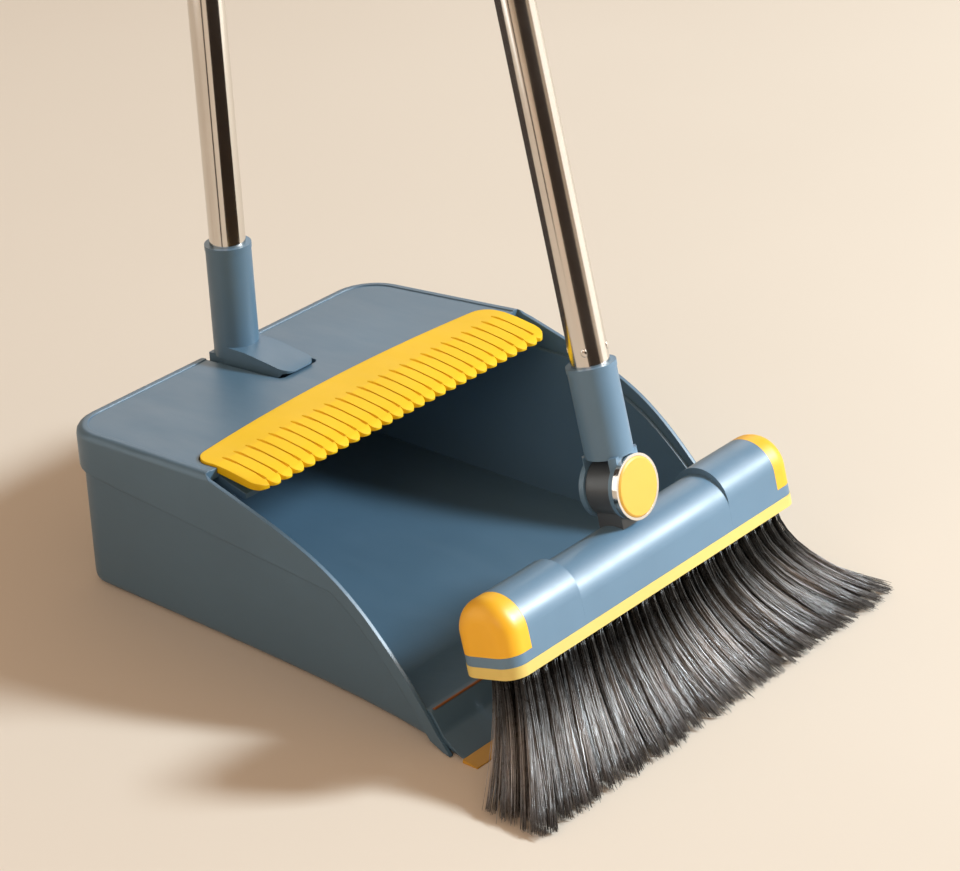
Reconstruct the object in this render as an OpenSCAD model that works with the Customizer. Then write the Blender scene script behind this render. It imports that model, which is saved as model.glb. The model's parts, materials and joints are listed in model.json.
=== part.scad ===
// Dust pan and brush set: a covered pan with a folding pole and a comb on its cover,
// and an upright broom whose pole swivels on its head.
// Millimetres. +Z is up, the pan's mouth faces -Y, and X runs across the mouth.
// The origin is the middle of the pan's underside, on the floor.

/* [Pan] */
// Depth of the tray from mouth to back
pan_d = 284; // [270:1:300]
// Width of the mouth across the tray walls
mouth_w = 274; // [262:1:286]
// Width across the tray walls at the back, at cover height
rear_w = 246; // [236:1:250]
// Width of the base at the back
base_rear_w = 231; // [220:1:236]
// Height of the cover at the back
rear_h = 94; // [90:1:98]
// Rise of the cover per millimetre towards the mouth
roof_rise = 0.08; // [0.06:0.005:0.1]
// Wall thickness of the mouldings
wall = 2.4; // [2:0.1:3]
// How far each side flares evenly, at floor height, before it sweeps out to the mouth
side_flare = 6.5; // [4:0.5:12]
// Plan radius of the two rear corners at cover height
corner_r = 24; // [18:1:28]
// Plan radius of the two rear corners at the floor
corner_low_r = 13; // [10:1:18]
// Height of the seam between tray and cover at the back
seam_z = 72; // [68:0.5:74]
// Fall of that seam per millimetre towards the mouth
seam_fall = 0.035; // [0:0.005:0.05]

/* [Pan floor] */
// Thickness of the tray floor
floor_t = 2.6; // [2:0.1:3.5]
// Height of the crest behind the mouth
crest_z = 18; // [14:0.5:20]
// Distance of the crest from the tray's front edge
crest_back = 27; // [24:0.5:32]
// Length of the slope behind the crest
crest_slope = 52; // [40:1:60]
// How far the soft lip reaches past the tray
lip_d = 7.4; // [5:0.1:9]

/* [Comb] */
// Half length of the comb
comb_half = 120; // [112:1:121]
// Thickness of the comb below the cover's top face
comb_t = 3.6; // [2.8:0.1:4]
// How far the comb stands proud of the cover's rim
comb_proud = 0.5; // [0.2:0.1:0.8]
// Distance between two teeth
tooth_pitch = 8.9; // [8:0.1:9.2]
// Number of round teeth between the two broad end teeth
tooth_count = 25; // [21:2:25]

/* [Poles] */
// Outside diameter of both steel poles
pole_d = 20; // [19:0.5:20]
// Wall of the steel tube
pole_wall = 0.5; // [0.4:0.1:1]
// Length of the pan's tube
pan_tube_l = 590; // [400:5:700]
// Length of the broom's tube
broom_tube_l = 760; // [600:5:900]
// Outside diameter of the sockets at the foot of each pole
socket_d = 25.2; // [24.6:0.2:27]
// Length of each grip
grip_l = 108; // [90:1:130]
// Backward lean of the pan's pole, in degrees
pan_lean = 4; // [2:0.5:6]
// Radius of the hanging hole in each grip cap
hang_r = 6; // [4:0.5:7]

/* [Broom] */
// Backward lean of the broom, in degrees
broom_lean = 15.2; // [12:0.2:17]
// Half length of the broom head
head_half = 121; // [110:1:122]
// Radius of the head's round top
head_r = 17.8; // [17:0.2:18.2]
// How far the crown of the head's two ends rises above its middle
end_lift = 3.4; // [2:0.2:4]
// Half length of the middle of the head
mid_half = 63; // [55:1:70]
// Distance from the middle to each yellow cap
cap_from = 105; // [100:1:108]
// Depth of the swivel below which the head's bottom plate ends
plate_drop = 54; // [53:0.5:55]
// Radius of the swivel's round cover
cover_r = 17; // [15:0.5:17]

/* [Hidden] */
$fn = 64;

blue = "#5d7184";
blue_dark = "#3f4a55";
yellow = "#f3b92f";
lemon = "#f0dc5a";
steel = "#cfc8c0";
bristle_grey = "#3b3938";

slit = 0.15;
y_front = -pan_d / 2;
y_rear = pan_d / 2;
deck_front = 34;
arm_top_y = 30.5;
seam_band = 8;
ledge = 9;
skirt_t = 2.5;
rim_w = 6.5;
rim_h = 0.6;
inner_round = 2.4;
rear_taper = 4;
far = 160;

// Height of the cover's top face at depth y
function roof_z(y) = rear_h + roof_rise * (y_rear - y);
roof_angle = atan(roof_rise);

// Half width of the tray at height z and depth y
function half_at(z, y) =
  let (
    t = (y_rear - y) / pan_d,
    low = base_rear_w / 2 + side_flare * t + ((mouth_w - base_rear_w) / 2 - side_flare) * pow(t, 5),
    high = (rear_w + (mouth_w - rear_w) * t) / 2)
  low + (high - low) * z / rear_h;
function arc_pts(cx, cy, r, a0, a1, n) =
  [for (i = [0:n]) let (a = a0 + (a1 - a0) * i / n) [cx + r * cos(a), cy + r * sin(a)]];

// One level of the pan's outline: [height at the back, rise per millimetre forwards, outward growth]
side_steps = 9;
corner_steps = 7;
side_end = y_rear - 44;
function level_z(l, y) = l[0] + l[1] * (y_rear - y);
function level_side(l, y0) =
  [for (i = [0:side_steps]) let (y = y0 + (side_end - y0) * i / side_steps) [half_at(level_z(l, y), y) + l[2], y]];
function level_corner(l) =
  let (
    h = level_z(l, y_rear) / rear_h,
    r = corner_low_r + (corner_r - corner_low_r) * h + l[2],
    b = y_rear - rear_taper * (1 - h) + l[2],
    w = half_at(level_z(l, b - r), b - r) + l[2])
  arc_pts(w - r, b - r, r, 3, 90, corner_steps);
function level_right(l, y0) = concat(level_side(l, y0), level_corner(l));
function level_ring(l, y0) =
  let (right = level_right(l, y0), n = len(right))
  [for (i = [0:2 * n - 1]) let (p = i < n ? right[i] : right[2 * n - 1 - i], s = i < n ? 1 : -1)
    [s * p[0], p[1], level_z(l, p[1])]];

// A closed solid through rings of points that all have the same number of corners
module skin(rings) {
  n = len(rings[0]);
  top = (len(rings) - 1) * n;
  polyhedron(
    points = [for (r = rings) each r],
    faces = concat(
      [[for (i = [0:n - 1]) i], [for (i = [n - 1:-1:0]) top + i]],
      [for (j = [0:len(rings) - 2]) for (i = [0:n - 1]) let (k = (i + 1) % n, a = j * n, b = a + n)
        each [[a + i, b + i, b + k], [a + i, b + k, a + k]]]),
    convexity = 6);
}

// A solid through a list of such levels, from the back forwards to y0
module loft(levels, y0) {
  skin([for (l = levels) level_ring(l, y0)]);
}
function upright(g, z0) = [for (z = [z0, 24, 48, 72]) [z, 0, g]];

// A side view, drawn as [y, z] points, extruded across the pan
module across(pts, w) {
  translate([-w / 2, 0, 0]) rotate([90, 0, 90]) linear_extrude(w) polygon(pts);
}

// The swept front edge of each side wall: a cubic curve from the cover down to the mouth
arm = [
  [arm_top_y, roof_z(arm_top_y) - 2.7], [-57.4, 77.5], [-58.2, 76.8], [y_front + 10, -2.5]
];
function arm_pt(t) = pow(1 - t, 3) * arm[0] + 3 * t * pow(1 - t, 2) * arm[1]
  + 3 * t * t * (1 - t) * arm[2] + pow(t, 3) * arm[3];
function arm_dir(t) = let (d = arm_pt(t + 0.01) - arm_pt(t - 0.01)) d / norm(d);
function arm_off(t, k) = let (d = arm_dir(t), p = arm_pt(t) + k * [-d[1], d[0]]) [p[0], max(p[1], 0.6)];
arm_steps = 22;
function seam_at(y) = seam_z - seam_fall * (y_rear - y);

function cover_side() = concat(
  [[far, far], [deck_front, far], [deck_front, roof_z(deck_front) - 0.2]],
  [for (i = [0:arm_steps]) arm_off(i / arm_steps, 0)],
  [for (i = [arm_steps:-1:0]) let (p = arm_off(i / arm_steps, seam_band)) if (p[1] < seam_at(p[0])) p],
  [[far, seam_at(far)]]);
function tray_side() = concat(
  [[far, rear_h - 10], [-10, rear_h - 10]],
  [for (i = [0:arm_steps]) let (p = arm_off(i / arm_steps, ledge - (ledge - 2) * i / arm_steps))
    if (p[1] < rear_h - 10) p],
  [[y_front + 9, -1], [far, -1]]);

// The inner floor in side view, from the back wall over the crest to the front edge
crest_y = y_front + crest_back;
function floor_line() = [
  [far, floor_t], [crest_y + crest_slope, floor_t], [crest_y + 3, crest_z - 0.4], [crest_y, crest_z],
  [crest_y - 2, crest_z - 1.2], [y_front + 17, 8], [y_front + 2.4, 2]
];
rib_gap = 36;
rib_pitch = 40;
notch_half = 15.6;
notch_front = 83;
notch_floor = 66;

module rear_notch() {
  notch_r = 4;
  translate([-notch_half, notch_front + notch_r, notch_floor]) cube([2 * notch_half, far, far]);
  translate([-notch_half + notch_r, notch_front, notch_floor])
    cube([2 * (notch_half - notch_r), notch_r, far]);
  for (s = [-1, 1]) translate([s * (notch_half - notch_r), notch_front + notch_r, notch_floor])
    cylinder(r = notch_r, h = far);
}

module pan_tray() {
  base = [[0, 0, -4.5], [0.6, 0, -2.6], [1.8, 0, -1.1], [3.4, 0, -0.3]];
  color(blue) difference() {
    intersection() {
      loft(concat(base, upright(0, 5.5), [[rear_h, 0, 0]]), y_front);
      union() {
        across(tray_side(), 2 * far);
        across(concat(floor_line(), [[y_front + 2.4, -1], [far, -1]]), 2 * far);
      }
    }
    intersection() {
      loft(concat(upright(-wall, -1), [[rear_h, 0, -wall], [rear_h + 20, 0, -wall]]), y_front - 10);
      across(concat(floor_line(), [[-far, 2], [-far, far], [far, far]]), 2 * far);
    }
    for (i = [-3:2]) translate([(i + 0.5) * rib_pitch, 0, 0])
      across([
        [crest_y + crest_slope - 12, -1], [crest_y + crest_slope - 14, 0.8], [crest_y + 2, crest_z - 3.4],
        [crest_y - 2, crest_z - 4], [y_front + 18, 5.4], [y_front + 10, 0.8], [y_front + 10, -1]
      ], rib_gap);
    translate([0, y_rear - 20, 0]) intersection() {
      translate([0, 20 - y_rear, 0]) rear_notch();
      translate([-far, 0, 0]) cube([2 * far, far, far]);
    }
  }
}

// Plan of the comb: a slightly bowed strip with round corners and a row of round teeth along its front
comb_bow = 8;
comb_rear = 59;
tooth_tip = 4;
tooth_r = 4.1;
notch_in = 5.2;
end_r2 = 8.4;
function comb_rear_y(x) = comb_rear - comb_bow * x * x / (comb_half * comb_half);
function comb_teeth() = [for (i = [0:tooth_count - 1])
  let (x = (i - (tooth_count - 1) / 2) * tooth_pitch)
  each concat([[x - tooth_pitch / 2, tooth_tip + notch_in]], arc_pts(x, tooth_tip + tooth_r, tooth_r, 200, 340, 6))];
function comb_plan(g, front) =
  let (r = 11, n = 14, h = comb_half + g, x1 = h - r, f = tooth_tip + 1 - g)
  concat(
    arc_pts(end_r2 - h, f + end_r2, end_r2, 180, 262, 6),
    front,
    arc_pts(h - end_r2, f + end_r2, end_r2, 278, 360, 6),
    arc_pts(h - r, comb_rear_y(x1) - r + g, r, 0, 80, 6),
    [for (i = [1:n - 1]) let (x = x1 * (1 - 2 * i / n)) [x, comb_rear_y(x) + g]],
    arc_pts(r - h, comb_rear_y(x1) - r + g, r, 100, 180, 6));

bend_y = 36;
comb_gap = 0.3;
shelf_drop = comb_t + comb_gap;
module comb_pocket() {
  translate([0, 0, 60]) linear_extrude(far) polygon(comb_plan(0.5, []));
}

// The thick front edge that the comb sits in, and the two tabs under the comb's ends
module cover_front() {
  block_rear = comb_rear + 4;
  tab_x = 111;
  tab_w = 16;
  tab_root = 44;
  deep = shelf_drop + wall;
  intersection() {
    across([[block_rear, roof_z(block_rear) - 1.2], [deck_front, roof_z(deck_front) - 1.2],
      [deck_front, roof_z(deck_front) - deep], [block_rear, roof_z(block_rear) - deep]], 2 * far);
    loft([[72, 0, 1], [110, 0, 1]], y_front);
  }
  for (s = [-1, 1]) translate([s * tab_x, 0, 0])
    across([[tab_root, roof_z(tab_root) - deep + 1], [deck_front, roof_z(deck_front) - deep + 0.5],
      [16, roof_z(16) - 12], [16, roof_z(16) - 15], [tab_root, roof_z(tab_root) - 12]], tab_w);
}

// The cover's outer faces with a rounded top edge, and its low rim around a slightly sunk deck
edge_round = [[4.2, 0], [2.6, 0.4], [1.2, 1.4], [0.3, 2.9], [0, 4.4]];
function roof_level(k, g) = [rear_h - k, roof_rise, g];
module cover_outside() {
  difference() {
    loft(concat(upright(skirt_t, -4), [for (e = edge_round) roof_level(e[0], skirt_t - e[1])]), y_front);
    loft([roof_level(rim_h, skirt_t - rim_w), roof_level(-3, skirt_t - rim_w)], y_front - 10);
  }
}

module pan_cover() {
  color(blue) difference() {
    union() {
      difference() {
        intersection() {
          cover_outside();
          across(cover_side(), 2 * far);
        }
        loft(concat(upright(slit, -6), [roof_level(wall + 3, slit), roof_level(wall + rim_h, slit - inner_round)]),
          y_front - 10);
        intersection() {
          loft(concat(upright(slit, -6), [[rear_h, 0, slit], [rear_h + 30, 0, slit]]), y_front - 10);
          translate([-far, deck_front - far, -far]) cube([2 * far, far, 2 * far]);
        }
      }
      cover_front();
    }
    comb_pocket_cut();
    rear_notch();
    for (s = [-1, 1]) translate([s * screw_x, screw_y, 80]) cylinder(r = 1.7, h = 30);
  }
}

// The part of the comb's pocket that opens upwards through the cover
module comb_pocket_cut() {
  intersection() {
    comb_pocket();
    across([[far, roof_z(far) - comb_t - comb_gap], [bend_y - 1, roof_z(bend_y - 1) - comb_t - comb_gap],
      [-20, 88], [-20, far], [far, far]], 2 * far);
  }
}

module pan_lip() {
  color(yellow) across([
    [y_front + 2.4 - lip_d - 2, 0], [y_front + 2.4, 0], [y_front + 2.4, 2.2], [y_front + 2.4 - lip_d - 2, 0.7]
  ], mouth_w - 1);
}

module pan_crest_bead() {
  color("#c47a2a") across([
    [crest_y - 0.9, crest_z], [crest_y + 0.9, crest_z], [crest_y + 0.4, crest_z + 0.6], [crest_y - 0.4, crest_z + 0.6]
  ], 2 * (half_at(crest_z, crest_y) - wall - 0.3));
}

screw_x = 96;
screw_y = 46;
module pan_comb() {
  comb_front = tooth_tip + 3.5;
  tip_z = roof_z(comb_front) - 6.4;
  groove = 1.5;
  groove_l = 30;
  groove_rear = bend_y + 3;
  fall = atan((roof_z(bend_y) + comb_proud - tip_z - 1.4) / (bend_y - comb_front));
  color(yellow) difference() {
    intersection() {
      translate([0, 0, 60]) linear_extrude(far) polygon(comb_plan(0, comb_teeth()));
      across([
        [far, roof_z(far) + comb_proud], [bend_y, roof_z(bend_y) + comb_proud],
        [bend_y - 9, roof_z(bend_y - 9) + comb_proud - 1.1], [comb_front + 8, tip_z + 2.9],
        [comb_front, tip_z + 1.3], [tooth_tip, tip_z - 0.4],
        [tooth_tip, tip_z - 1.6], [comb_front, tip_z - 2.2], [bend_y - 1, roof_z(bend_y) - comb_t],
        [far, roof_z(far) - comb_t]
      ], 2 * far);
    }
    for (i = [0:tooth_count]) translate([(i - tooth_count / 2) * tooth_pitch, groove_rear, roof_z(bend_y) + 0.8])
      rotate([fall, 0, 0]) rotate([0, 45, 0]) translate([-groove / 2, -groove_l, -groove / 2])
        cube([groove, groove_l, groove]);
    for (s = [-1, 1]) translate([s * screw_x, screw_y, 90]) cylinder(r = 1.5, h = roof_z(screw_y) - 90 - 1);
  }
}

module comb_screw(s) {
  top = roof_z(screw_y) - 1.2;
  under = roof_z(screw_y) - comb_t - comb_gap - wall - 0.35;
  color(steel) translate([s * screw_x, screw_y, 0]) {
    translate([0, 0, under]) cylinder(r = 1.45, h = top - under);
    translate([0, 0, under - 1.8]) cylinder(r = 3.2, h = 1.8);
  }
}
module comb_screw_left() { comb_screw(-1); }
module comb_screw_right() { comb_screw(1); }

// The pocket under the cover that carries the pole's hinge pin
pivot_y = 128;
pivot_z = 82;
pin_r = 3;
fit = 0.05;
box_wall = 2.8;
module hinge_box() {
  out = notch_half + box_wall;
  top = wall + rim_h + 0.05;
  back = y_rear - wall - 1.7;
  color(blue) difference() {
    across([
      [back, notch_floor - box_wall], [back, roof_z(back) - top - 2.6], [back - 5, roof_z(back - 5) - top],
      [notch_front - box_wall, roof_z(notch_front - box_wall) - top], [notch_front - box_wall, 82],
      [notch_front + 14, notch_floor - box_wall]
    ], 2 * out);
    across([
      [far, notch_floor], [far, far], [notch_front, far], [notch_front, 83], [notch_front + 15, notch_floor]
    ], 2 * notch_half);
    translate([0, pivot_y, pivot_z]) rotate([0, 90, 0]) cylinder(r = pin_r + fit, h = far, center = true);
  }
}

module hinge_pin() {
  color(steel) translate([0, pivot_y, pivot_z]) rotate([0, 90, 0])
    cylinder(r = pin_r, h = 2 * (notch_half + box_wall), center = true);
}

module hinge_washer(s) {
  color(steel) translate([s * 14.8, pivot_y, pivot_z]) rotate([0, 90, 0]) difference() {
    cylinder(r = 7, h = 1.2, center = true);
    cylinder(r = pin_r + fit, h = 3, center = true);
  }
}
module hinge_washer_left() { hinge_washer(-1); }
module hinge_washer_right() { hinge_washer(1); }

// Places what follows on the pan pole's own axis, with its hinge at the origin
module on_pan_pole() {
  translate([0, pivot_y, pivot_z]) rotate([-pan_lean, 0, 0]) children();
}

hub_r = 11;
hub_half = 14;
tube_r = pole_d / 2;
pan_socket_z = 14;
pan_socket_l = 64;
pan_tube_z = 20;

module pan_foot() {
  tongue_half = 12.2;
  tongue_r = 7;
  tongue_tip = 81.5;
  color(blue) difference() {
    union() {
      on_pan_pole() {
        rotate([0, 90, 0]) cylinder(r = hub_r, h = 2 * hub_half, center = true);
        translate([-hub_r, -hub_r, 0]) cube([2 * hub_r, 2 * hub_r, pan_socket_z + 1]);
        translate([0, 0, pan_socket_z]) cylinder(d = socket_d, h = pan_socket_l);
        translate([0, 0, pan_socket_z + pan_socket_l - 3]) cylinder(d = socket_d + 0.6, h = 3);
      }
      intersection() {
        across([
          [pivot_y, 90], [pivot_y, 103.4], [112, 103.8], [96, 102.4], [tongue_tip + 3, 101.2],
          [tongue_tip, 100.2], [tongue_tip, 99.4], [tongue_tip + 4, 98.9], [tongue_tip + 8, 94.5], [112, 90]
        ], 3 * tongue_half);
        union() {
          translate([-tongue_half, tongue_tip + tongue_r, 80]) cube([2 * tongue_half, 60, 40]);
          translate([tongue_r - tongue_half, tongue_tip, 80]) cube([2 * (tongue_half - tongue_r), 60, 40]);
          for (s = [-1, 1]) translate([s * (tongue_half - tongue_r), tongue_tip + tongue_r, 80])
            cylinder(r = tongue_r, h = 40);
        }
      }
    }
    on_pan_pole() {
      rotate([0, 90, 0]) cylinder(r = pin_r + fit, h = far, center = true);
      translate([0, 0, pan_tube_z]) cylinder(r = tube_r + fit, h = far);
    }
  }
}

module tube(z, l) {
  color(steel) difference() {
    translate([0, 0, z]) cylinder(r = tube_r, h = l);
    translate([0, 0, z - 1]) cylinder(r = tube_r - pole_wall, h = l + 2);
  }
}

module tube_plug(z) {
  color(blue_dark) translate([0, 0, z + 0.05]) cylinder(r = tube_r - pole_wall - fit, h = 30);
}

// A grip sleeve on the top of a tube that ends at height z
module grip(z) {
  step = grip_l / 6;
  color(blue) translate([0, 0, z - grip_l]) rotate_extrude() polygon(concat(
    [[tube_r + fit, 0], [tube_r + 2.2, 0], [tube_r + 3, 1.2], [tube_r + 3, 7], [tube_r + 2.4, 8.5]],
    [for (i = [1:4]) for (p = [[2.4, 0.25], [3.3, 0.5], [2.4, 0.75]]) [tube_r + p[0], step * (i + p[1])]],
    [[tube_r + 2.4, grip_l - 8], [tube_r + 3.2, grip_l - 6], [tube_r + 3.2, grip_l], [tube_r + fit, grip_l]]));
}

hang_lift = 17;
hang_t = 9;
module grip_cap(z) {
  color(yellow) translate([0, 0, z]) difference() {
    union() {
      translate([0, 0, 0.05]) cylinder(r1 = tube_r + 3.2, r2 = tube_r + 1, h = 5);
      translate([0, 0, -22]) cylinder(r = tube_r - pole_wall - fit, h = 23);
      translate([-hang_t / 2, 4 - tube_r, 4]) cube([hang_t, 2 * tube_r - 8, hang_lift - 4]);
      translate([0, 0, hang_lift]) rotate([0, 90, 0]) cylinder(r = hang_r + 5, h = hang_t, center = true);
    }
    translate([0, 0, hang_lift]) rotate([0, 90, 0]) cylinder(r = hang_r, h = far, center = true);
  }
}

pan_top = pan_tube_z + pan_tube_l;
module pan_tube() { on_pan_pole() tube(pan_tube_z, pan_tube_l); }
module pan_tube_plug() { on_pan_pole() tube_plug(pan_tube_z); }
module pan_grip() { on_pan_pole() grip(pan_top); }
module pan_grip_cap() { on_pan_pole() grip_cap(pan_top); }

// Places what follows on the broom's own axis, with the swivel at the origin
broom_at = [-18, y_front - 1.7, 107.7];
module on_broom() {
  translate(broom_at) rotate([-broom_lean, 0, 0]) children();
}

plate_t = 6;
shell_z = plate_t - plate_drop;
crown_z = -18;
round_z = crown_z - head_r;
end_round_z = round_z + end_lift;
band_z = shell_z + 5.5;
plan_r = 10;

// The head's cross-section: straight sides under a half round of radius r about height zc
module head_bar(r, x0, x1, z0, zc) {
  intersection() {
    translate([x0, 0, zc]) rotate([0, 90, 0]) cylinder(r = r, h = x1 - x0, $fn = 96);
    translate([x0, -r, zc - 1]) cube([x1 - x0, 2 * r, r + 2]);
  }
  translate([x0, -r, z0]) cube([x1 - x0, 2 * r, zc - z0]);
}

// A rounded rectangle in plan, half length h and half width w
module head_plan(h, w, r, z0, z1) {
  translate([-h + r, -w, z0]) cube([2 * (h - r), 2 * w, z1 - z0]);
  translate([-h, -w + r, z0]) cube([2 * h, 2 * (w - r), z1 - z0]);
  for (sx = [-1, 1]) for (sy = [-1, 1]) translate([sx * (h - r), sy * (w - r), z0]) cylinder(r = r, h = z1 - z0);
}

knuckle_half = 7.6;
stem_half = 10;
shell_t = 2.4;
module head_shell() {
  color(blue) on_broom() difference() {
    head_bar(head_r, -mid_half, mid_half, shell_z, round_z);
    head_bar(head_r - shell_t, -mid_half + shell_t, mid_half - shell_t, shell_z - 1, round_z);
    translate([-stem_half, -knuckle_half, -40]) cube([2 * stem_half, 2 * knuckle_half, 40]);
  }
}

module head_end() {
  color(blue) on_broom() difference() {
    intersection() {
      union() {
        head_bar(head_r, mid_half, cap_from, shell_z, end_round_z);
        translate([mid_half, -head_r, shell_z]) cube([head_half - mid_half, 2 * head_r, band_z - shell_z]);
      }
      head_plan(head_half, head_r, plan_r, shell_z - 1, 0);
    }
    head_bar(head_r - shell_t, mid_half + shell_t, cap_from - shell_t, shell_z - 1, end_round_z);
  }
}
module head_end_right() { head_end(); }
module head_end_left() { translate([2 * broom_at[0], 0, 0]) mirror([1, 0, 0]) head_end(); }

// The cap's outline at depth x, drawn in by g; its outer end is rounded off all the way round
arch_steps = 12;
end_steps = 9;
function cap_ring(x, g) = let (r = head_r - g) concat(
  [[x, r, band_z]],
  [for (i = [0:2 * arch_steps]) let (a = 90 * i / arch_steps) [x, r * cos(a), end_round_z + r * sin(a)]],
  [[x, -r, band_z]]);
module head_cap() {
  flat_to = head_half - plan_r;
  color(yellow) on_broom() difference() {
    skin(concat([cap_ring(cap_from, 0)], [for (i = [0:end_steps]) let (a = 90 * i / end_steps)
      cap_ring(flat_to + plan_r * sin(a), plan_r * (1 - cos(a)))]));
    translate([cap_from - 1, -head_r + 5, band_z - 1]) cube([9, 2 * head_r - 10, 18]);
  }
}
module head_cap_right() { head_cap(); }
module head_cap_left() { translate([2 * broom_at[0], 0, 0]) mirror([1, 0, 0]) head_cap(); }

module bristle_plate() {
  color(lemon) on_broom() {
    head_plan(head_half, head_r + 0.3, plan_r, -plate_drop, shell_z - 0.02);
  }
}

// Bristles fan out from the plate to the floor
tuft_half = 108;
tuft_d = 13.5;
splay_x = 157;
splay_shift = 5;
tip_front = y_front - 71;
tip_rear = y_front - 38;
module bristles() {
  color(bristle_grey) hull() {
    on_broom() translate([-tuft_half, -tuft_d, -plate_drop - 1]) cube([2 * tuft_half, 2 * tuft_d, 0.98]);
    on_broom() translate([-tuft_half - 12, -tuft_d - 5, -plate_drop - 20]) cube([2 * tuft_half + 24, 2 * tuft_d + 8, 1]);
    translate([broom_at[0] + splay_shift - splay_x, tip_front, 0]) cube([2 * splay_x, tip_rear - tip_front, 2]);
  }
}

// The knuckle stands on a stem that goes down into the shell
bolt_r = 5;
knuckle_r = 15.2;
module head_knuckle() {
  color(blue_dark) on_broom() difference() {
    union() {
      rotate([90, 0, 0]) cylinder(r = knuckle_r, h = 2 * knuckle_half, center = true);
      translate([-stem_half, -knuckle_half, -39.5]) cube([2 * stem_half, 2 * knuckle_half, 39.5]);
    }
    rotate([90, 0, 0]) cylinder(r = bolt_r + fit, h = far, center = true);
    translate([0, 0, -40]) cylinder(r = 2, h = 16);
  }
}

module head_knuckle_screw() {
  color(steel) on_broom() {
    translate([0, 0, -44.5]) cylinder(r = 1.95, h = 20);
    translate([0, 0, -46.5]) cylinder(r = 4.4, h = 2.05);
    translate([0, 0, -41.6]) cylinder(r = 12, h = 1.6, $fn = 6);
  }
}

ear_gap = 0.3;
ear_t = 3;
ear_r = 16.4;
fork_z = 17.4;
shoulder_r = 14;
shoulder_w = 12;
broom_socket_l = 48;
broom_tube_z = 23.4;
module swivel_fork() {
  ear_in = knuckle_half + ear_gap;
  color(blue) on_broom() difference() {
    union() {
      for (s = [-1, 1]) translate([0, s * (ear_in + ear_t / 2), 0])
        rotate([90, 0, 0]) cylinder(r = ear_r, h = ear_t, center = true);
      intersection() {
        for (s = [-1, 1]) translate([-shoulder_w, s * (ear_in + ear_t / 2) - ear_t / 2, 0])
          cube([2 * shoulder_w, ear_t, fork_z + 1]);
        cylinder(r = shoulder_r, h = fork_z + 1);
      }
      translate([0, 0, fork_z]) cylinder(d = socket_d, h = broom_socket_l);
      translate([0, 0, fork_z + broom_socket_l - 3]) cylinder(d = socket_d + 0.8, h = 3);
    }
    rotate([90, 0, 0]) cylinder(r = bolt_r + fit, h = far, center = true);
    translate([0, 0, broom_tube_z]) cylinder(r = tube_r + fit, h = far);
  }
}

ear_out = knuckle_half + ear_gap + ear_t;
module swivel_bolt() {
  color(steel) on_broom() rotate([90, 0, 0]) cylinder(r = bolt_r, h = 2 * ear_out, center = true);
}

module swivel_rear_cap() {
  color(blue_dark) on_broom() translate([0, ear_out + 0.02, 0]) rotate([-90, 0, 0])
    cylinder(r1 = 14.5, r2 = 13, h = 1.8);
}

ring_t = 3;
module swivel_ring() {
  color(steel) on_broom() translate([0, -ear_out - 0.02, 0]) rotate([90, 0, 0]) difference() {
    cylinder(r = cover_r, h = ring_t);
    translate([0, 0, 0.8]) cylinder(r = cover_r - 1.4, h = ring_t);
  }
}

module swivel_cover() {
  color(yellow) on_broom() translate([0, -ear_out - 0.86, 0]) rotate([90, 0, 0]) {
    cylinder(r = cover_r - 1.5, h = 2.2);
    translate([0, 0, 2.2]) cylinder(r1 = cover_r - 1.5, r2 = cover_r - 2.5, h = 0.8);
  }
}

broom_top = broom_tube_z + broom_tube_l;
module broom_tube() { on_broom() tube(broom_tube_z, broom_tube_l); }
module broom_tube_plug() { on_broom() tube_plug(broom_tube_z); }
module broom_grip() { on_broom() grip(broom_top); }
module broom_grip_cap() { on_broom() grip_cap(broom_top); }

pan_tray();
pan_cover();
pan_lip();
pan_crest_bead();
pan_comb();
comb_screw_left();
comb_screw_right();
hinge_box();
hinge_pin();
hinge_washer_left();
hinge_washer_right();
pan_foot();
pan_tube();
pan_tube_plug();
pan_grip();
pan_grip_cap();
head_shell();
head_end_left();
head_end_right();
head_cap_left();
head_cap_right();
bristle_plate();
bristles();
head_knuckle();
head_knuckle_screw();
swivel_fork();
swivel_bolt();
swivel_rear_cap();
swivel_ring();
swivel_cover();
broom_tube();
broom_tube_plug();
broom_grip();
broom_grip_cap();
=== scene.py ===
"""Dust pan and brush set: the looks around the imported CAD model. Metres, in the model's own frame."""

import json
import math
import random

import bmesh
import bpy
from mathutils import Euler, Matrix, Vector


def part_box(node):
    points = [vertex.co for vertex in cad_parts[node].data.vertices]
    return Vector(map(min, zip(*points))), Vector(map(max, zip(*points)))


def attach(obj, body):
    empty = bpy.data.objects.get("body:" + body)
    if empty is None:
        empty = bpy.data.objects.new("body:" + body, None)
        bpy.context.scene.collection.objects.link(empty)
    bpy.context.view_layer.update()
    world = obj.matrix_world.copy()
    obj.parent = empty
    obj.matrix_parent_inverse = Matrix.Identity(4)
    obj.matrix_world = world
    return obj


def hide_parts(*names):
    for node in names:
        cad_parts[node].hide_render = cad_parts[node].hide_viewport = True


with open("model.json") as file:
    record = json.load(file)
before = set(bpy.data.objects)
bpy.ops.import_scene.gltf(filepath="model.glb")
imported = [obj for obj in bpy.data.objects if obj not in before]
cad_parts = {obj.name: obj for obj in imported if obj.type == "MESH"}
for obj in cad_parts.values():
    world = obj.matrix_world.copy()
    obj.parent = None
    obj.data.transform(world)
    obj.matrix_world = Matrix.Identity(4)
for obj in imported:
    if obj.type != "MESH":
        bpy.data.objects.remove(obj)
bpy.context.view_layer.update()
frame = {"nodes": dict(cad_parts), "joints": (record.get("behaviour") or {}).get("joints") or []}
MM = 0.001
TAU = 2 * math.pi


def add_object(name, data):
    thing = bpy.data.objects.new(name, data)
    bpy.context.scene.collection.objects.link(thing)
    return thing


# ---------------------------------------------------------------- camera

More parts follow.
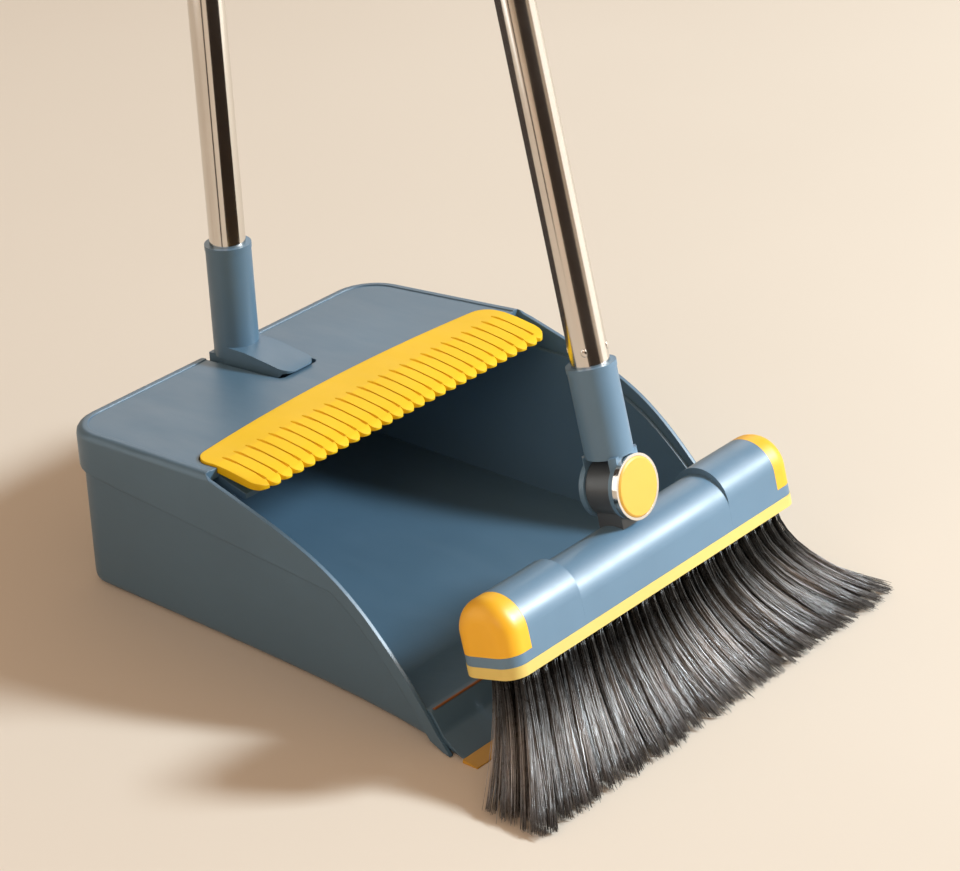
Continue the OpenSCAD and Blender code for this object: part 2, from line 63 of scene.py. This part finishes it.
VIEW_AZIMUTH = math.radians(-51.47)
VIEW_ELEVATION = math.radians(26.55)
VIEW_LENS = 131.2
VIEW_PLACE = Vector((-1.2824, -1.0631, 0.9161))
SENSOR_WIDTH = 36.0
CLIP_END = 60.0


def make_camera():
    data = bpy.data.cameras.new("camera")
    data.lens = VIEW_LENS
    data.sensor_width = SENSOR_WIDTH
    data.clip_end = CLIP_END
    camera = add_object("camera", data)
    camera.location = VIEW_PLACE
    camera.rotation_euler = Euler((math.pi / 2 - VIEW_ELEVATION, 0.0, VIEW_AZIMUTH))
    bpy.context.scene.camera = camera


# ---------------------------------------------------------------- lights

LIT_MIDDLE = Vector((0.0, -0.02, 0.06))
KEY_DIRECTION = Vector((0.573, -0.624, 0.537)).normalized()
KEY_DISTANCE = 3.8
SHEEN_DIRECTION = Vector((0.42, -0.60, 0.68)).normalized()
SHEEN_DISTANCE = 2.4
LEFT_FILL_PLACE = Vector((-2.7, -0.8, 1.5))
DECK_GLOW_PLACE = Vector((1.5, 1.25, 1.25))
COOL_WHITE = (0.80, 0.93, 1.0)
PLAIN_WHITE = (1.0, 1.0, 1.0)
PEACH = (1.0, 0.78, 0.66)
WARM_WHITE = (1.0, 0.96, 0.92)
WORLD_COLOUR = (1.0, 0.76, 0.54)
WORLD_STRENGTH = 0.43

# Each light: name, place, size, power in watts, colour, whether matt surfaces see it
LIGHTS = [
    ("key", LIT_MIDDLE + KEY_DIRECTION * KEY_DISTANCE, (0.61, 0.61), 195.0, COOL_WHITE, True),
    ("sheen", LIT_MIDDLE + SHEEN_DIRECTION * SHEEN_DISTANCE, (1.35, 1.35), 100.0, PLAIN_WHITE, False),
    ("left_fill", LEFT_FILL_PLACE, (2.0, 1.4), 19.0, PEACH, True),
    ("deck_glow", DECK_GLOW_PLACE, (1.8, 1.1), 12.0, WARM_WHITE, False),
]


def area_light(name, place, size, power, colour, diffuse):
    """A rectangular light that faces the middle of the set."""
    data = bpy.data.lights.new(name, "AREA")
    data.shape = "RECTANGLE"
    data.size, data.size_y = size
    data.energy = power
    data.color = colour
    lamp = add_object(name, data)
    lamp.location = place
    lamp.rotation_euler = (LIT_MIDDLE - place).to_track_quat("-Z", "Y").to_euler()
    lamp.visible_diffuse = diffuse


def make_lights():
    for light in LIGHTS:
        area_light(*light)
    world = bpy.data.worlds.new("studio")
    world.use_nodes = True
    back = world.node_tree.nodes["Background"]
    back.inputs["Color"].default_value = (*WORLD_COLOUR, 1.0)
    back.inputs["Strength"].default_value = WORLD_STRENGTH
    bpy.context.scene.world = world
    bpy.context.scene.view_settings.view_transform = "Standard"


# ---------------------------------------------------------------- node helpers

BEVEL_SAMPLES = 6
NOISE_LOW = 0.3
NOISE_HIGH = 0.7


def new_material(name):
    material = bpy.data.materials.new(name)
    material.use_nodes = True
    nodes = material.node_tree.nodes
    return material, nodes, material.node_tree.links, nodes["Principled BSDF"]


def place_of(nodes, links, scale=(1.0, 1.0, 1.0)):
    """Object coordinates, stretched by scale."""
    coord = nodes.new("ShaderNodeTexCoord")
    mapping = nodes.new("ShaderNodeMapping")
    mapping.inputs["Scale"].default_value = scale
    links.new(coord.outputs["Object"], mapping.inputs["Vector"])
    return mapping.outputs["Vector"]


def noise(nodes, links, vector, settings):
    scale, detail, rough = settings
    tex = nodes.new("ShaderNodeTexNoise")
    tex.inputs["Scale"].default_value = scale
    tex.inputs["Detail"].default_value = detail
    tex.inputs["Roughness"].default_value = rough
    links.new(vector, tex.inputs["Vector"])
    return tex.outputs["Fac"]


def spread(nodes, links, value, low, high):
    """A noise's usual range, taken to low to high."""
    ranged = nodes.new("ShaderNodeMapRange")
    ranged.inputs["From Min"].default_value = NOISE_LOW
    ranged.inputs["From Max"].default_value = NOISE_HIGH
    ranged.inputs["To Min"].default_value = low
    ranged.inputs["To Max"].default_value = high
    links.new(value, ranged.inputs["Value"])
    return ranged.outputs["Result"]


def tones(nodes, links, value, stops):
    """A colour ramp; each stop is its place and its colour."""
    ramp = nodes.new("ShaderNodeValToRGB")
    elements = ramp.color_ramp.elements
    while len(elements) < len(stops):
        elements.new(0.5)
    for element, (at, colour) in zip(elements, stops):
        element.position = at
        element.color = (*colour, 1.0)
    links.new(value, ramp.inputs["Fac"])
    return ramp.outputs["Color"]


def bump(nodes, links, height, strength, distance, normal=None):
    node = nodes.new("ShaderNodeBump")
    node.inputs["Strength"].default_value = strength
    node.inputs["Distance"].default_value = distance
    links.new(height, node.inputs["Height"])
    if normal is not None:
        links.new(normal, node.inputs["Normal"])
    return node.outputs["Normal"]


def rounded_edges(nodes, radius):
    """The normal of edges rounded by radius millimetres, or None where there is no radius."""
    if not radius:
        return None
    node = nodes.new("ShaderNodeBevel")
    node.samples = BEVEL_SAMPLES
    node.inputs["Radius"].default_value = radius * MM
    return node.outputs["Normal"]


def shade(colour, factor):
    return tuple(min(1.0, c * factor) for c in colour)


# ---------------------------------------------------------------- materials

BLUE = (0.085, 0.160, 0.235)
LIGHT_BLUE = (0.125, 0.225, 0.330)
DARK = (0.070, 0.085, 0.100)
YELLOW = (0.95, 0.57, 0.004)
AMBER = (0.98, 0.50, 0.012)
LEMON = (0.80, 0.60, 0.17)
GOLD = (0.88, 0.50, 0.07)
OCHRE = (0.62, 0.33, 0.03)
RUST = (0.30, 0.10, 0.02)
STEEL = (0.74, 0.70, 0.65)
ZINC = (0.62, 0.62, 0.60)
FLOOR_DEEP = (0.77, 0.67, 0.57)
FLOOR_PALE = (0.80, 0.70, 0.60)
CARD_DARK = (0.035, 0.022, 0.016)
CARD_PALE = (0.8, 0.8, 0.8)
CARD_LIGHT = (1.0, 0.96, 0.9, 1.0)

# Noise settings: scale, detail, roughness
MOULD_CLOUDS = (14.0, 4.0, 0.55)
MOULD_FLOW = (60.0, 5.0, 0.65)
MOULD_WAVES = (45.0, 2.0, 0.4)
SPARK_GRAIN = (1500.0, 2.0, 0.6)
RUBBER_CLOUDS = (30.0, 4.0, 0.6)
RUBBER_GRAIN = (900.0, 3.0, 0.7)
DRAWN_LINES = (900.0, 2.0, 0.5)
SMEARS = (18.0, 5.0, 0.6)
SPECKS = (260.0, 2.0, 0.5)
FLOOR_CLOUDS = (1.6, 3.0, 0.5)
CARD_CLOUDS = (1.5, 2.0, 0.5)

# How a noise is stretched along X, Y and Z
FLOW_STRETCH = (1.0, 0.25, 1.0)
UPRIGHT_LINES = (1.0, 1.0, 0.02)
NO_LINES = (1.0, 1.0, 1.0)


def moulded_plastic(name, colour, roughness, grain, coat=0.0, edge=0.0, gloss=0.5):
    """Injection-moulded plastic: fine spark grain, faint flow marks and slight wear in the gloss."""
    material, nodes, links, shader = new_material(name)
    vector = place_of(nodes, links)
    clouds = noise(nodes, links, vector, MOULD_CLOUDS)
    stops = [(0.3, shade(colour, 0.93)), (0.55, colour), (0.8, shade(colour, 1.06))]
    links.new(tones(nodes, links, clouds, stops), shader.inputs["Base Color"])
    marks = noise(nodes, links, place_of(nodes, links, FLOW_STRETCH), MOULD_FLOW)
    links.new(spread(nodes, links, marks, roughness - 0.05, roughness + 0.07), shader.inputs["Roughness"])
    fine = noise(nodes, links, vector, SPARK_GRAIN)
    waves = noise(nodes, links, vector, MOULD_WAVES)
    soft = bump(nodes, links, waves, 0.10, 0.4 * MM, rounded_edges(nodes, edge))
    links.new(bump(nodes, links, fine, grain, 0.05 * MM, soft), shader.inputs["Normal"])
    shader.inputs["Specular IOR Level"].default_value = gloss
    shader.inputs["Coat Weight"].default_value = coat
    shader.inputs["Coat Roughness"].default_value = 0.2
    return material


def soft_rubber(name, colour):
    """Matt rubber with a coarse, uneven face."""
    material, nodes, links, shader = new_material(name)
    vector = place_of(nodes, links)
    clouds = noise(nodes, links, vector, RUBBER_CLOUDS)
    stops = [(0.25, shade(colour, 0.86)), (0.75, shade(colour, 1.05))]
    links.new(tones(nodes, links, clouds, stops), shader.inputs["Base Color"])
    links.new(spread(nodes, links, clouds, 0.5, 0.68), shader.inputs["Roughness"])
    fine = noise(nodes, links, vector, RUBBER_GRAIN)
    links.new(bump(nodes, links, fine, 0.35, 0.08 * MM), shader.inputs["Normal"])
    return material


def polished_metal(name, tint, roughness, stretch):
    """Polished metal with smears; stretch turns its finest noise into drawn lines."""
    material, nodes, links, shader = new_material(name)
    drawn = noise(nodes, links, place_of(nodes, links, stretch), DRAWN_LINES)
    smears = noise(nodes, links, place_of(nodes, links), SMEARS)
    stops = [(0.3, shade(tint, 0.94)), (0.7, tint)]
    links.new(tones(nodes, links, smears, stops), shader.inputs["Base Color"])
    shader.inputs["Metallic"].default_value = 1.0
    links.new(spread(nodes, links, smears, roughness - 0.03, roughness + 0.05), shader.inputs["Roughness"])
    links.new(bump(nodes, links, drawn, 0.06, 0.02 * MM), shader.inputs["Normal"])
    return material


def nylon(name):
    """Dark nylon filament: its shade and its worn tip come from the mesh's own colours, which also carry
    painted shade near the plate and a painted highlight down the filament.
    """
    material, nodes, links, shader = new_material(name)
    shades = nodes.new("ShaderNodeVertexColor")
    shades.layer_name = "filament"
    links.new(shades.outputs["Color"], shader.inputs["Base Color"])
    specks = noise(nodes, links, place_of(nodes, links), SPECKS)
    links.new(spread(nodes, links, specks, 0.22, 0.38), shader.inputs["Roughness"])
    shader.inputs["Specular IOR Level"].default_value = 0.6
    shader.inputs["Coat Weight"].default_value = 0.2
    shader.inputs["Coat Roughness"].default_value = 0.25
    return material


def warm_floor(name):
    """A matt, faintly clouded studio floor."""
    material, nodes, links, shader = new_material(name)
    clouds = noise(nodes, links, place_of(nodes, links), FLOOR_CLOUDS)
    stops = [(0.3, FLOOR_DEEP), (0.7, FLOOR_PALE)]
    links.new(tones(nodes, links, clouds, stops), shader.inputs["Base Color"])
    links.new(spread(nodes, links, clouds, 0.86, 0.94), shader.inputs["Roughness"])
    shader.inputs["Specular IOR Level"].default_value = 0.06
    return material


def card_material(name, colour, glow):
    """Matt card for the mirror cards; glow is how brightly it shines."""
    material, nodes, links, shader = new_material(name)
    clouds = noise(nodes, links, place_of(nodes, links), CARD_CLOUDS)
    stops = [(0.3, shade(colour, 0.9)), (0.7, colour)]
    links.new(tones(nodes, links, clouds, stops), shader.inputs["Base Color"])
    shader.inputs["Roughness"].default_value = 0.9
    shader.inputs["Emission Color"].default_value = CARD_LIGHT
    shader.inputs["Emission Strength"].default_value = glow
    return material


def make_materials():
    return {
        "body": moulded_plastic("blue_body_moulding", BLUE, 0.40, 0.28, edge=0.8),
        "pan": moulded_plastic("blue_moulding", BLUE, 0.40, 0.28),
        "head": moulded_plastic("blue_head_moulding", LIGHT_BLUE, 0.40, 0.16, coat=0.1),
        "dark": moulded_plastic("dark_moulding", DARK, 0.30, 0.2),
        "yellow": moulded_plastic("yellow_moulding", YELLOW, 0.50, 0.18, edge=0.7, gloss=0.22),
        "amber": moulded_plastic("amber_cap_moulding", AMBER, 0.42, 0.12, edge=0.5),
        "lemon": moulded_plastic("lemon_moulding", LEMON, 0.45, 0.18, gloss=0.3),
        "gold": moulded_plastic("gold_cover_moulding", GOLD, 0.42, 0.12),
        "lip": soft_rubber("yellow_lip_rubber", OCHRE),
        "bead": soft_rubber("orange_bead", RUST),
        "steel": polished_metal("polished_tube", STEEL, 0.13, UPRIGHT_LINES),
        "zinc": polished_metal("zinc_fastener", ZINC, 0.3, NO_LINES),
        "nylon": nylon("nylon_filament"),
        "floor": warm_floor("warm_floor"),
    }


# ---------------------------------------------------------------- mirror cards

# Only reflections show these cards: they give the polished tubes their dark and bright bands.
TOWARDS_CAMERA = Vector((-0.783, -0.622, 0.0))
TO_THE_RIGHT = Vector((0.622, -0.783, 0.0))
TUBE_RADIUS = 10.0 * MM
ABOVE_COVER = 0.109
CARD_GLOW = 0.9

# Each card: name, degrees round from the camera to the right, distance from its foot, width, height, glows
SET_CARDS = [
    ("card_wide", 28.0, 0.95, 1.1, 1.5, False),
    ("card_line", -34.0, 0.95, 0.12, 1.5, False),
    ("card_bright", 100.0, 0.95, 0.75, 1.5, True),
    ("card_left", -75.0, 1.05, 1.1, 1.6, True),
]
PAN_POLE_CARDS = [
    ("card_pan", 44.0, 0.13, 0.23, 0.8, False),
    ("card_pan_line", -30.0, 0.14, 0.02, 0.8, False),
]


def mirror_card(name, foot, angle, away, width, height, material):
    """An upright card, away from foot, angle degrees round from the camera to the right."""
    turn = math.radians(angle)
    facing = TOWARDS_CAMERA * math.cos(turn) + TO_THE_RIGHT * math.sin(turn)
    centre = foot + facing * away
    side = facing.cross(Vector((0.0, 0.0, 1.0))) * width / 2
    up = Vector((0.0, 0.0, height))
    corners = [centre - side, centre + side, centre + side + up, centre - side + up]
    mesh = bpy.data.meshes.new(name)
    mesh.from_pydata(corners, [], [(0, 1, 2, 3)])
    mesh.materials.append(material)
    card = add_object(name, mesh)
    card.visible_camera = False
    card.visible_diffuse = False
    card.visible_shadow = False
    card.visible_transmission = False


def make_cards():
    dark = card_material("dark_card", CARD_DARK, 0.0)
    bright = card_material("bright_card", CARD_PALE, CARD_GLOW)
    set_foot = Vector((0.0, 0.0, 0.0))
    pan_pole_foot = Vector((0.0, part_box("pan_tube")[0].y + TUBE_RADIUS, ABOVE_COVER))
    for foot, cards in ((set_foot, SET_CARDS), (pan_pole_foot, PAN_POLE_CARDS)):
        for name, angle, away, width, height, glows in cards:
            mirror_card(name, foot, angle, away, width, height, bright if glows else dark)


# ---------------------------------------------------------------- CAD nodes: finishes and soft edges

FINISH = {
    "body": ["pan_tray", "pan_cover", "hinge_box"],
    "pan": ["pan_foot", "pan_grip"],
    "head": ["head_shell", "head_end_left", "head_end_right", "swivel_fork", "broom_grip"],
    "dark": ["pan_tube_plug", "head_knuckle", "swivel_rear_cap", "broom_tube_plug"],
    "yellow": ["pan_comb", "pan_grip_cap", "broom_grip_cap"],
    "amber": ["head_cap_left", "head_cap_right"],
    "lemon": ["bristle_plate"],
    "gold": ["swivel_cover"],
    "lip": ["pan_lip"],
    "bead": ["pan_crest_bead"],
    "steel": ["pan_tube", "broom_tube", "swivel_ring"],
    "zinc": [
        "comb_screw_left", "comb_screw_right", "hinge_pin", "hinge_washer_left", "hinge_washer_right",
        "head_knuckle_screw", "swivel_bolt",
    ],
}
# The width of each softened node's bevels, in millimetres
EDGE = {
    "pan_foot": 0.9, "pan_lip": 0.3, "pan_grip": 0.3, "pan_grip_cap": 0.9,
    "head_shell": 0.3, "head_end_left": 0.4, "head_end_right": 0.4, "head_knuckle": 0.6,
    "bristle_plate": 0.8, "broom_grip": 0.3, "broom_grip_cap": 0.9,
    "swivel_fork": 0.8, "swivel_cover": 0.5, "swivel_ring": 0.3, "swivel_rear_cap": 0.4,
}
CREASED = ["pan_tray", "pan_cover", "hinge_box", "pan_comb", "head_cap_left", "head_cap_right"]
SHARP = math.radians(26)
WELD_DISTANCE = 0.01 * MM


def smooth_faces(mesh):
    for polygon in mesh.polygons:
        polygon.use_smooth = True


def weld(piece):
    smooth_faces(piece.data)
    joined = piece.modifiers.new("weld", "WELD")
    joined.merge_threshold = WELD_DISTANCE


def crease(piece):
    """Smooth curves, split along the sharp edges only."""
    weld(piece)
    split = piece.modifiers.new("crease", "EDGE_SPLIT")
    split.split_angle = SHARP
    normals = piece.modifiers.new("normals", "WEIGHTED_NORMAL")
    normals.mode = "FACE_AREA_WITH_ANGLE"


def soften(piece, width):
    """Rounds a moulding's sharp edges and shades the rest smooth."""
    weld(piece)
    edge = piece.modifiers.new("edge", "BEVEL")
    edge.width = width * MM
    edge.segments = 3
    edge.limit_method = "ANGLE"
    edge.angle_limit = SHARP
    edge.use_clamp_overlap = True
    edge.harden_normals = True
    normals = piece.modifiers.new("normals", "WEIGHTED_NORMAL")
    normals.keep_sharp = True
    normals.weight = 100


def finish_nodes(materials):
    for key, names in FINISH.items():
        for name in names:
            piece = frame["nodes"][name]
            for slot in piece.material_slots:
                slot.material = materials[key]
            if name in CREASED:
                crease(piece)
            elif name in EDGE:
                soften(piece, EDGE[name])


# ---------------------------------------------------------------- bristles

# The broom's own frame: its origin is on the swivel's axis, and its Z runs up the pole
SWIVEL = next(joint for joint in frame["joints"] if joint["name"] == "broom_swivel")
BROOM_LEAN = math.atan2(SWIVEL["axis"][2], -SWIVEL["axis"][1])
BROOM_FRAME = Matrix.Translation(Vector(SWIVEL["pos_m"])) @ Matrix.Rotation(-BROOM_LEAN, 4, "X")
BROOM_TURN = BROOM_FRAME.to_3x3()
DOWN = Vector((0.0, 0.0, -1.0))
SEED = 41

# Where the tufts, their strands and the strands' filaments leave the plate
PLATE_DROP = 54.0 * MM
TUFT_ROWS = (-10.5 * MM, -3.6 * MM, 3.6 * MM, 10.5 * MM)
TUFTS = 30
TUFT_HALF = 107.0 * MM
STRANDS = 9
STRAND_OUT = 2.08 * MM
PER_STRAND = 12
FILAMENT_OUT = 0.7 * MM

# Where the tips reach the floor
FAN_REACH = 0.98
FAN_PER_TUFT = 1.5
FAN_SCATTER = 0.35
TIP_FRONT = 1.5 * MM
TIP_DEPTH = 31.0 * MM
TIP_WIDTH = 3.0 * MM
TIP_SCATTER = 1.6 * MM
TIP_LIMIT = 2.0 * MM
TIP_HEIGHT = 0.8 * MM

# How a filament bends, in millimetres, and how thick it is
PULL = (24.0, 32.0)
SWAY = 1.2
SPLAY = 1.1
SPLAY_UP = 0.5
THICKNESS = (0.16, 0.25)
TAPER = 0.5
STEPS = 8
SIDES = 3
ASIDE = Vector((1.0, 0.3, 0.0))

# How bright a tuft, a strand and a filament are, least and most
TUFT_TONE = (0.6, 1.25)
STRAND_TONE = (0.35, 1.65)
FILAMENT_TONE = (0.7, 1.35)

# How bright a filament is painted along its length: painted shade at the plate, then where its painted
# highlight starts and peaks
ROOT_PAINTED_SHADE = 0.006
MIDDLE_PAINTED_HIGHLIGHT = 0.32
TIP_SHADE = 0.055
PAINTED_HIGHLIGHT_FROM = 0.24
PAINTED_HIGHLIGHT_TO = 0.72


def filament_path(root, tip, pull):
    """Points from root to tip: straight out of the plate at first, then bending towards the floor."""
    control = root + pull
    points = []
    for i in range(STEPS + 1):
        t = i / STEPS
        points.append((1 - t) ** 2 * root + 2 * t * (1 - t) * control + t * t * tip)
    return points


def in_disc(draw):
    angle = draw.uniform(0, TAU)
    out = math.sqrt(draw.random())
    return out * math.cos(angle), out * math.sin(angle)


def strand_tip(draw, share, row_share, du, dv):
    """Where a strand meets the floor; du and dv are its place in the tuft."""
    low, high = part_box("bristles")
    middle = (low.x + high.x) / 2
    half = (high.x - low.x) / 2
    fan = share + (du * FAN_PER_TUFT + draw.gauss(0, FAN_SCATTER)) / (TUFTS - 1)
    x = middle + half * FAN_REACH * max(-1.0, min(1.0, fan))
    y = low.y + TIP_FRONT + TIP_DEPTH * row_share + TIP_WIDTH * dv + draw.gauss(0, TIP_SCATTER)
    z = TIP_HEIGHT + abs(draw.gauss(0, TIP_SCATTER))
    return Vector((x, max(y, low.y - TIP_LIMIT), z))


def painted_shade_and_highlight_along(t):
    """Dark at the plate as painted shade, brightest well down the filament as a painted highlight, dull at
    the worn tip.
    """
    if t < PAINTED_HIGHLIGHT_FROM:
        return ROOT_PAINTED_SHADE
    if t < PAINTED_HIGHLIGHT_TO:
        rise = (t - PAINTED_HIGHLIGHT_FROM) / (PAINTED_HIGHLIGHT_TO - PAINTED_HIGHLIGHT_FROM)
        return ROOT_PAINTED_SHADE + (MIDDLE_PAINTED_HIGHLIGHT - ROOT_PAINTED_SHADE) * math.sin(rise * math.pi / 2) ** 2
    fade = (t - PAINTED_HIGHLIGHT_TO) / (1.0 - PAINTED_HIGHLIGHT_TO)
    return MIDDLE_PAINTED_HIGHLIGHT + (TIP_SHADE - MIDDLE_PAINTED_HIGHLIGHT) * fade


def warm_grey(level, t):
    """A grey that turns slightly warmer towards the tip."""
    return (level * (1.04 + 0.06 * t), level * 0.98, level * 0.95, 1.0)


def add_filament(draw, lists, points, tone):
    """A closed, tapering tube along points, added to the vertices, faces and colours in lists."""
    vertices, faces, colours = lists
    spin = draw.uniform(0, TAU)
    start = len(vertices)
    thick = draw.uniform(*THICKNESS) * MM
    for i, point in enumerate(points):
        ahead = (points[min(i + 1, STEPS)] - points[max(i - 1, 0)]).normalized()
        side = ahead.cross(ASIDE).normalized()
        across = ahead.cross(side)
        t = i / STEPS
        radius = thick * (1.0 - TAPER * t * t)
        # The filament's colour carries painted shade near the plate and a painted highlight down its
        # length
        colour = warm_grey(tone * painted_shade_and_highlight_along(t), t)
        for k in range(SIDES):
            a = spin + TAU * k / SIDES
            vertices.append(point + (side * math.cos(a) + across * math.sin(a)) * radius)
            colours.append(colour)
    for i in range(STEPS):
        for k in range(SIDES):
            a = start + i * SIDES + k
            b = start + i * SIDES + (k + 1) % SIDES
            faces.append((a, b, b + SIDES, a + SIDES))
    last = start + STEPS * SIDES
    faces.append(tuple(start + k for k in reversed(range(SIDES))))
    faces.append(tuple(last + k for k in range(SIDES)))


def make_strand(draw, lists, centre, share, row_share, tuft_tone):
    """The filaments that clump together on their way to one tip."""
    du, dv = in_disc(draw)
    strand_root = centre + BROOM_TURN @ Vector((du, dv, 0.0)) * STRAND_OUT
    end = strand_tip(draw, share, row_share, du, dv)
    pull = BROOM_TURN @ DOWN * draw.uniform(*PULL) * MM
    tone = tuft_tone * draw.uniform(*STRAND_TONE)
    for _ in range(PER_STRAND):
        eu, ev = in_disc(draw)
        root = strand_root + BROOM_TURN @ Vector((eu, ev, 0.0)) * FILAMENT_OUT
        splay = Vector((draw.gauss(0, SPLAY), draw.gauss(0, SPLAY), abs(draw.gauss(0, SPLAY_UP)))) * MM
        sway = Vector((draw.gauss(0, SWAY), draw.gauss(0, SWAY), 0.0)) * MM
        points = filament_path(root, end + splay, pull + sway)
        add_filament(draw, lists, points, tone * draw.uniform(*FILAMENT_TONE))


def make_tuft(draw, lists, share, row):
    """One tuft; share is its place along the row, from -1 to 1."""
    row_share = (TUFT_ROWS[row] - TUFT_ROWS[0]) / (TUFT_ROWS[-1] - TUFT_ROWS[0])
    centre = BROOM_FRAME @ Vector((share * TUFT_HALF, TUFT_ROWS[row], -PLATE_DROP))
    tuft_tone = draw.uniform(*TUFT_TONE)
    for _ in range(STRANDS):
        make_strand(draw, lists, centre, share, row_share, tuft_tone)


def row_mesh(name, lists, material):
    vertices, faces, colours = lists
    mesh = bpy.data.meshes.new(name)
    mesh.from_pydata(vertices, [], faces)
    # These colours carry painted shade near the plate and a painted highlight down each filament
    layer = mesh.color_attributes.new("filament", "FLOAT_COLOR", "POINT")
    for item, colour in zip(layer.data, colours):
        item.color = colour
    smooth_faces(mesh)
    mesh.materials.append(material)
    return mesh


def make_bristles(material):
    """Rows of tufts; every other row is staggered by half a step."""
    draw = random.Random(SEED)
    for row in range(len(TUFT_ROWS)):
        lists = ([], [], [])
        for tuft in range(TUFTS):
            share = 2 * tuft / (TUFTS - 1) - 1
            if row % 2:
                share = max(-1.0, min(1.0, share + 1 / (TUFTS - 1)))
            make_tuft(draw, lists, share, row)
        name = f"bristle_row_{row + 1}"
        piece = add_object(name, row_mesh(name, lists, material))
        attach(piece, "broom_head")
        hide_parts("bristles")


# ---------------------------------------------------------------- crimps in the broom's tube

CRIMP_UP = 73.5 * MM
CRIMP_TURNS = (-62.0, 28.0, 118.0, 208.0)
CRIMP_RADIUS = 1.6 * MM
CRIMP_FLATTEN = 0.65
CRIMP_STRETCH = 1.35


def make_crimps(material):
    """Small raised crimps just above the socket, as flattened domes on the tube's face."""
    shape = bmesh.new()
    for turn in CRIMP_TURNS:
        angle = math.radians(turn)
        outward = Vector((math.sin(angle), -math.cos(angle), 0.0))
        place = outward * TUBE_RADIUS + Vector((0.0, 0.0, CRIMP_UP))
        made = bmesh.ops.create_icosphere(shape, subdivisions=3, radius=CRIMP_RADIUS)
        for vertex in made["verts"]:
            along = vertex.co.dot(outward)
            vertex.co = vertex.co - outward * along * CRIMP_FLATTEN
            vertex.co.z *= CRIMP_STRETCH
            vertex.co += place
    shape.transform(BROOM_FRAME)
    mesh = bpy.data.meshes.new("tube_crimps")
    shape.to_mesh(mesh)
    shape.free()
    smooth_faces(mesh)
    mesh.materials.append(material)
    piece = add_object("tube_crimps", mesh)
    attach(piece, "broom_pole")


# ---------------------------------------------------------------- floor

FLOOR_HALF = 8.0


def make_floor(material):
    half = FLOOR_HALF
    corners = [(-half, -half, 0), (half, -half, 0), (half, half, 0), (-half, half, 0)]
    mesh = bpy.data.meshes.new("floor")
    mesh.from_pydata(corners, [], [(0, 1, 2, 3)])
    mesh.materials.append(material)
    floor = add_object("floor", mesh)


make_camera()
make_lights()
make_cards()
MATERIALS = make_materials()
finish_nodes(MATERIALS)
make_bristles(MATERIALS["nylon"])
make_crimps(MATERIALS["steel"])
make_floor(MATERIALS["floor"])

bpy.context.view_layer.update()
